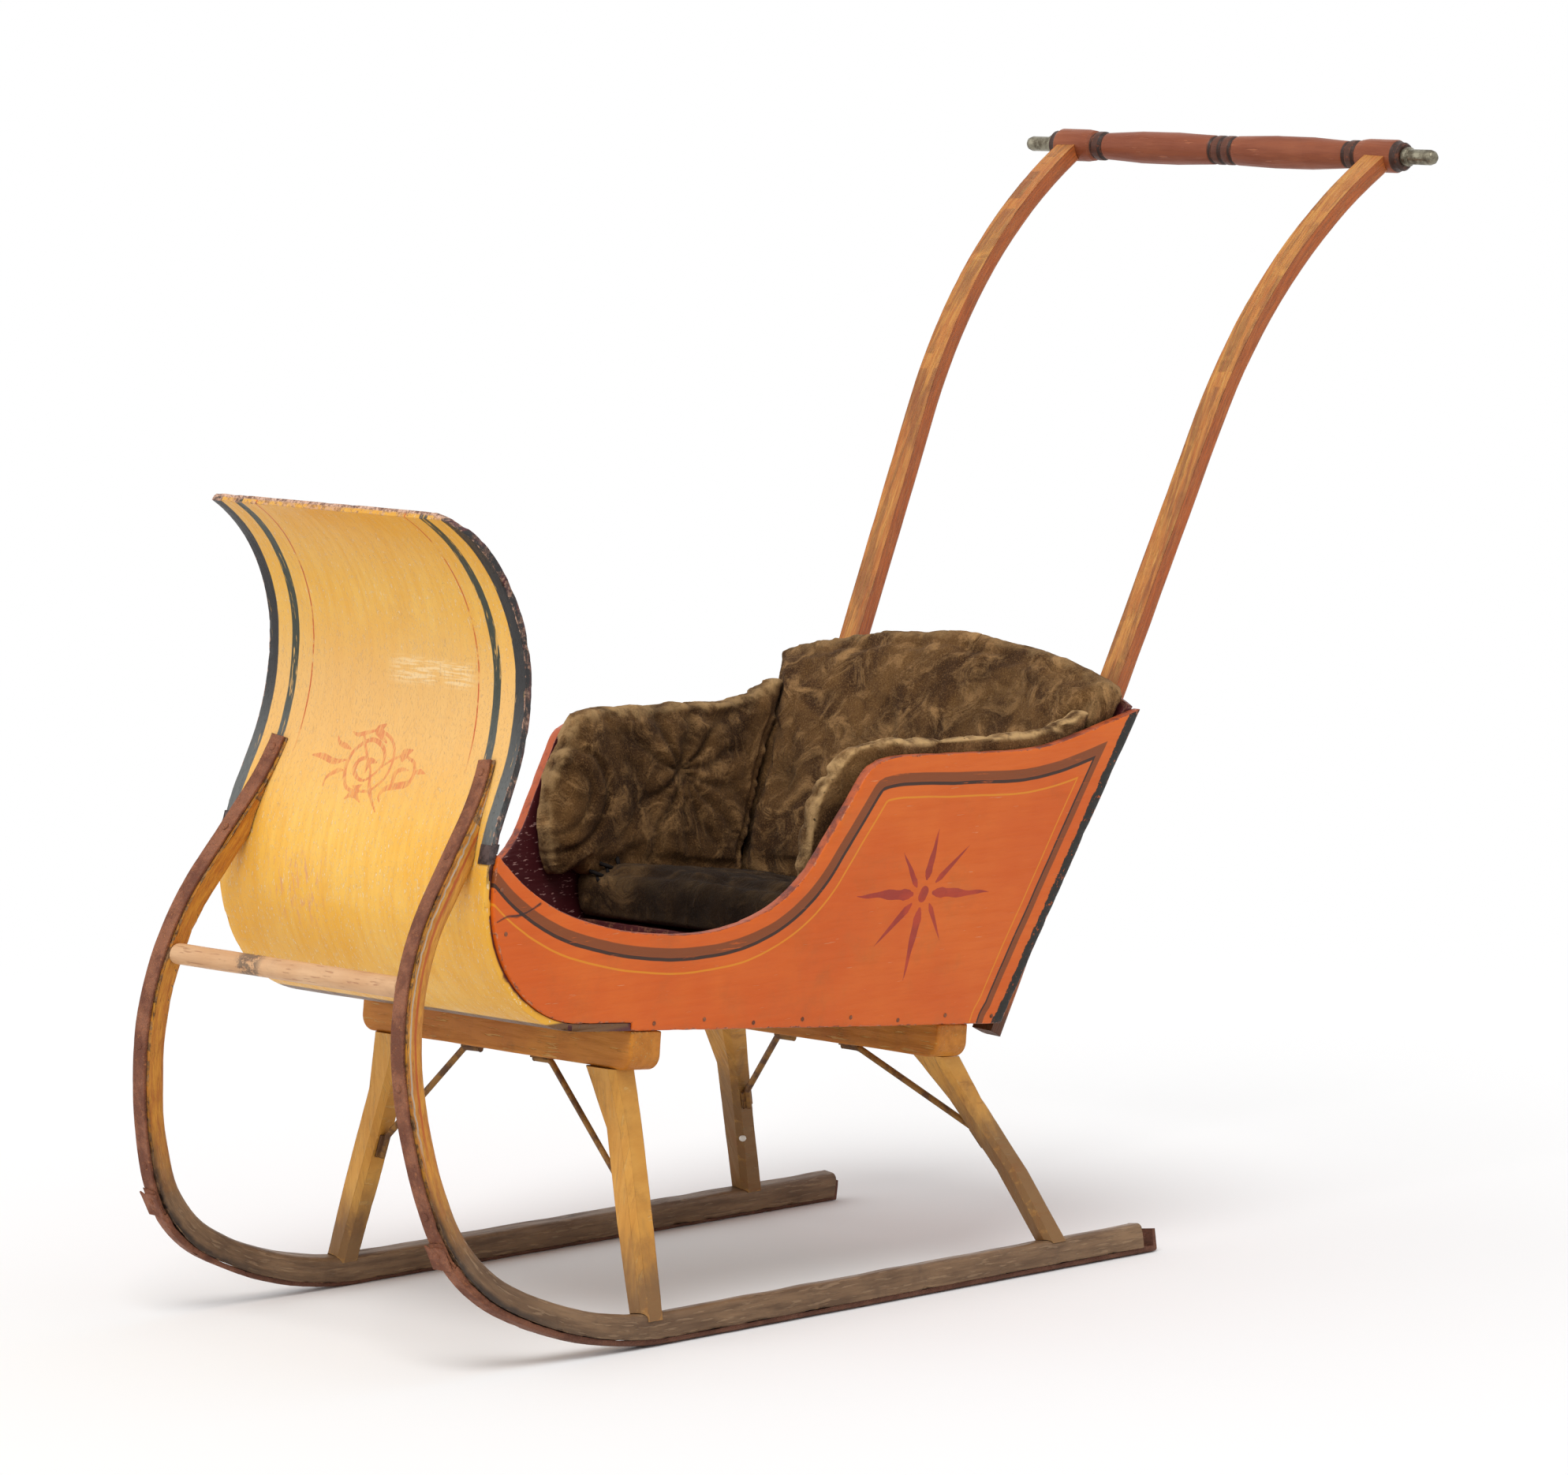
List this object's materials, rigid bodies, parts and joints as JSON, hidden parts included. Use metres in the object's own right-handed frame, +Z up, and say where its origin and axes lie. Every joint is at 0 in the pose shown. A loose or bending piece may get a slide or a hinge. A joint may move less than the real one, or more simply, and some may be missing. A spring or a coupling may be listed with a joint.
{
  "type": "child push sled",
  "caption": "Child's wooden push sled with a curled dash, fur-padded tub seat, iron-shod runners and a turned push bar on bent arms.",
  "frame": {"origin": "centre of the footprint, on the ground under the runner shoes", "axes": "+X forwards to the dash, +Y to the rider's left, +Z up"},
  "size_m": [1.1902, 0.5, 0.9731],
  "materials": {
    "dash_paint": "yellow paint on bent wood, worn at the rim",
    "side_paint": "orange-red paint with dark striping",
    "board_paint": "dark maroon paint, chipped",
    "bolster_paint": "ochre paint, worn",
    "leg_paint": "ochre paint worn to bare wood at the feet",
    "runner_wood": "weathered bare wood below, yellow paint above",
    "dowel_wood": "bare worn wood",
    "iron": "rusted wrought iron",
    "handle_wood": "red-brown stain worn to yellow wood",
    "bar_paint": "red-brown turned wood with black grooves",
    "tip_metal": "tarnished nickel",
    "clip_metal": "tarnished sheet metal",
    "fur": "short brown fur pile"
  },
  "bodies": {
    "root": {"back_cushion": "fur", "back_panel": "board_paint", "bar_tip_left": "tip_metal", "bar_tip_right": "tip_metal", "brace_front_left": "iron", "brace_front_right": "iron", "brace_rear_left": "iron", "brace_rear_right": "iron", "dash_board": "dash_paint", "dash_clip_left": "clip_metal", "dash_clip_right": "clip_metal", "floor_board": "board_paint", "front_bolster": "bolster_paint", "front_dowel": "dowel_wood", "handle_arm_left": "handle_wood", "handle_arm_right": "handle_wood", "handle_bar": "bar_paint", "leg_front_left": "leg_paint", "leg_front_right": "leg_paint", "leg_rear_left": "leg_paint", "leg_rear_right": "leg_paint", "rear_bolster": "bolster_paint", "runner_left": "runner_wood", "runner_right": "runner_wood", "seat_board": "board_paint", "seat_cushion": "fur", "seat_riser": "board_paint", "shoe_left": "iron", "shoe_right": "iron", "side_cushion_left": "fur", "side_cushion_right": "fur", "side_panel_left": "side_paint", "side_panel_right": "side_paint", "strap_left": "iron", "strap_right": "iron"}
  },
  "joints": []
}
